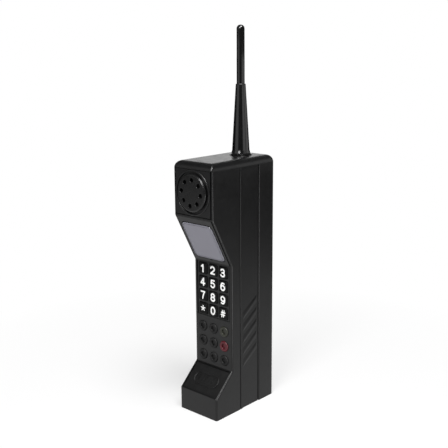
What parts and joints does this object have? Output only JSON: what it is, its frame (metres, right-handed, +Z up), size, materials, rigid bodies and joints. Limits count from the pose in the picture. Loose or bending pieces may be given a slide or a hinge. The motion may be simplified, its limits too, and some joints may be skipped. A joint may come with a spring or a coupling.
{
  "type": "toy cell phone",
  "caption": "Upright brick-shaped toy telephone with a raised ear cap, slanted display, square number keys, round function keys and a tapered antenna.",
  "frame": {"origin": "centre of the body's footprint, on the flat base it stands on", "axes": "+X to the right as the keypad is read, +Y from the keypad side to the back, +Z up along the antenna"},
  "size_m": [0.039, 0.0734, 0.2958],
  "materials": {
    "shell_plastic": "satin black moulded ABS with a fine texture",
    "chin_plastic": "matt black moulded insert",
    "grid_plastic": "satin dark grey moulded grid",
    "cap_plastic": "satin black moulded ABS",
    "lens_clear": "clear polished acrylic window",
    "card_print": "printed grey card behind the window",
    "mat_rubber": "grey silicone key mat",
    "carbon_rubber": "conductive carbon rubber",
    "board_laminate": "brown paper laminate circuit board with solder mask",
    "chip_resin": "black potting resin",
    "screw_steel": "zinc plated steel",
    "lamp_resin": "clear epoxy lamp",
    "speaker_metal": "pressed steel",
    "cone_paper": "black paper cone",
    "magnet_ferrite": "ferrite magnet",
    "gasket_foam": "foam ring",
    "cell_jacket": "plain printed metal battery jacket",
    "contact_steel": "nickel plated spring steel",
    "switch_plastic": "black moulded nylon",
    "wire_jacket": "soft PVC insulation",
    "antenna_plastic": "glossy black moulded plastic",
    "key_plastic": "near black moulded keys with white legends",
    "function_plastic": "satin dark grey moulded buttons",
    "call_plastic": "olive grey moulded button",
    "end_plastic": "dark red moulded button"
  },
  "bodies": {
    "housing": {"front_shell": "shell_plastic", "rear_shell": "shell_plastic", "ear_plate": "shell_plastic", "display_frame": "shell_plastic", "chin_plate": "chin_plastic", "keypad_frame": "grid_plastic", "ear_cap": "cap_plastic", "display_lens": "lens_clear", "display_card": "card_print", "keypad_mat": "mat_rubber", "contact_pills": "carbon_rubber", "main_board": "board_laminate", "sound_chip": "chip_resin", "board_parts": "chip_resin", "board_screws": "screw_steel", "case_screws": "screw_steel", "display_lamp": "lamp_resin", "speaker_frame": "speaker_metal", "speaker_cone": "cone_paper", "speaker_magnet": "magnet_ferrite", "speaker_gasket": "gasket_foam", "battery_1": "cell_jacket", "battery_2": "cell_jacket", "battery_springs": "contact_steel", "battery_contacts": "contact_steel", "switch_body": "switch_plastic", "speaker_leads": "wire_jacket", "battery_leads": "wire_jacket", "switch_leads": "wire_jacket"},
    "antenna": {"antenna_boot": "antenna_plastic", "antenna_rod": "antenna_plastic", "antenna_nut": "contact_steel"},
    "door": {"battery_door": "shell_plastic", "door_screw": "screw_steel"},
    "power_slider": {"switch_knob": "switch_plastic"},
    "key_1_button": {"key_1": "key_plastic"},
    "key_2_button": {"key_2": "key_plastic"},
    "key_3_button": {"key_3": "key_plastic"},
    "key_4_button": {"key_4": "key_plastic"},
    "key_5_button": {"key_5": "key_plastic"},
    "key_6_button": {"key_6": "key_plastic"},
    "key_7_button": {"key_7": "key_plastic"},
    "key_8_button": {"key_8": "key_plastic"},
    "key_9_button": {"key_9": "key_plastic"},
    "key_star_button": {"key_star": "key_plastic"},
    "key_0_button": {"key_0": "key_plastic"},
    "key_hash_button": {"key_hash": "key_plastic"},
    "recall_key_button": {"recall_key": "function_plastic"},
    "clear_key_button": {"clear_key": "function_plastic"},
    "call_key_button": {"call_key": "call_plastic"},
    "store_key_button": {"store_key": "function_plastic"},
    "lock_key_button": {"lock_key": "function_plastic"},
    "end_key_button": {"end_key": "end_plastic"},
    "volume_key_button": {"volume_key": "function_plastic"},
    "menu_key_button": {"menu_key": "function_plastic"},
    "power_key_button": {"power_key": "function_plastic"}
  },
  "joints": [
    {"name": "antenna_turn", "type": "hinge", "parent": "housing", "child": "antenna", "pos_m": [0, 0.0192, 0.1985], "axis": [0, 0, 1], "continuous": true},
    {"name": "door_swing", "type": "hinge", "parent": "housing", "child": "door", "pos_m": [0, 0.03575, 0.038], "axis": [-1, 0, 0], "range_deg": [0, 85]},
    {"name": "power_slide", "type": "slide", "parent": "housing", "child": "power_slider", "axis": [1, 0, 0], "range_m": [0, 0.004]},
    {"name": "key_1_press", "type": "slide", "parent": "housing", "child": "key_1_button", "axis": [0, 1, 0], "range_m": [0, 0.001], "stiffness_N_per_m": 300},
    {"name": "key_2_press", "type": "slide", "parent": "housing", "child": "key_2_button", "axis": [0, 1, 0], "range_m": [0, 0.001], "stiffness_N_per_m": 300},
    {"name": "key_3_press", "type": "slide", "parent": "housing", "child": "key_3_button", "axis": [0, 1, 0], "range_m": [0, 0.001], "stiffness_N_per_m": 300},
    {"name": "key_4_press", "type": "slide", "parent": "housing", "child": "key_4_button", "axis": [0, 1, 0], "range_m": [0, 0.001], "stiffness_N_per_m": 300},
    {"name": "key_5_press", "type": "slide", "parent": "housing", "child": "key_5_button", "axis": [0, 1, 0], "range_m": [0, 0.001], "stiffness_N_per_m": 300},
    {"name": "key_6_press", "type": "slide", "parent": "housing", "child": "key_6_button", "axis": [0, 1, 0], "range_m": [0, 0.001], "stiffness_N_per_m": 300},
    {"name": "key_7_press", "type": "slide", "parent": "housing", "child": "key_7_button", "axis": [0, 1, 0], "range_m": [0, 0.001], "stiffness_N_per_m": 300},
    {"name": "key_8_press", "type": "slide", "parent": "housing", "child": "key_8_button", "axis": [0, 1, 0], "range_m": [0, 0.001], "stiffness_N_per_m": 300},
    {"name": "key_9_press", "type": "slide", "parent": "housing", "child": "key_9_button", "axis": [0, 1, 0], "range_m": [0, 0.001], "stiffness_N_per_m": 300},
    {"name": "key_star_press", "type": "slide", "parent": "housing", "child": "key_star_button", "axis": [0, 1, 0], "range_m": [0, 0.001], "stiffness_N_per_m": 300},
    {"name": "key_0_press", "type": "slide", "parent": "housing", "child": "key_0_button", "axis": [0, 1, 0], "range_m": [0, 0.001], "stiffness_N_per_m": 300},
    {"name": "key_hash_press", "type": "slide", "parent": "housing", "child": "key_hash_button", "axis": [0, 1, 0], "range_m": [0, 0.001], "stiffness_N_per_m": 300},
    {"name": "recall_key_press", "type": "slide", "parent": "housing", "child": "recall_key_button", "axis": [0, 1, 0], "range_m": [0, 0.001], "stiffness_N_per_m": 300},
    {"name": "clear_key_press", "type": "slide", "parent": "housing", "child": "clear_key_button", "axis": [0, 1, 0], "range_m": [0, 0.001], "stiffness_N_per_m": 300},
    {"name": "call_key_press", "type": "slide", "parent": "housing", "child": "call_key_button", "axis": [0, 1, 0], "range_m": [0, 0.001], "stiffness_N_per_m": 300},
    {"name": "store_key_press", "type": "slide", "parent": "housing", "child": "store_key_button", "axis": [0, 1, 0], "range_m": [0, 0.001], "stiffness_N_per_m": 300},
    {"name": "lock_key_press", "type": "slide", "parent": "housing", "child": "lock_key_button", "axis": [0, 1, 0], "range_m": [0, 0.001], "stiffness_N_per_m": 300},
    {"name": "end_key_press", "type": "slide", "parent": "housing", "child": "end_key_button", "axis": [0, 1, 0], "range_m": [0, 0.001], "stiffness_N_per_m": 300},
    {"name": "volume_key_press", "type": "slide", "parent": "housing", "child": "volume_key_button", "axis": [0, 1, 0], "range_m": [0, 0.001], "stiffness_N_per_m": 300},
    {"name": "menu_key_press", "type": "slide", "parent": "housing", "child": "menu_key_button", "axis": [0, 1, 0], "range_m": [0, 0.001], "stiffness_N_per_m": 300},
    {"name": "power_key_press", "type": "slide", "parent": "housing", "child": "power_key_button", "axis": [0, 1, 0], "range_m": [0, 0.001], "stiffness_N_per_m": 300}
  ]
}
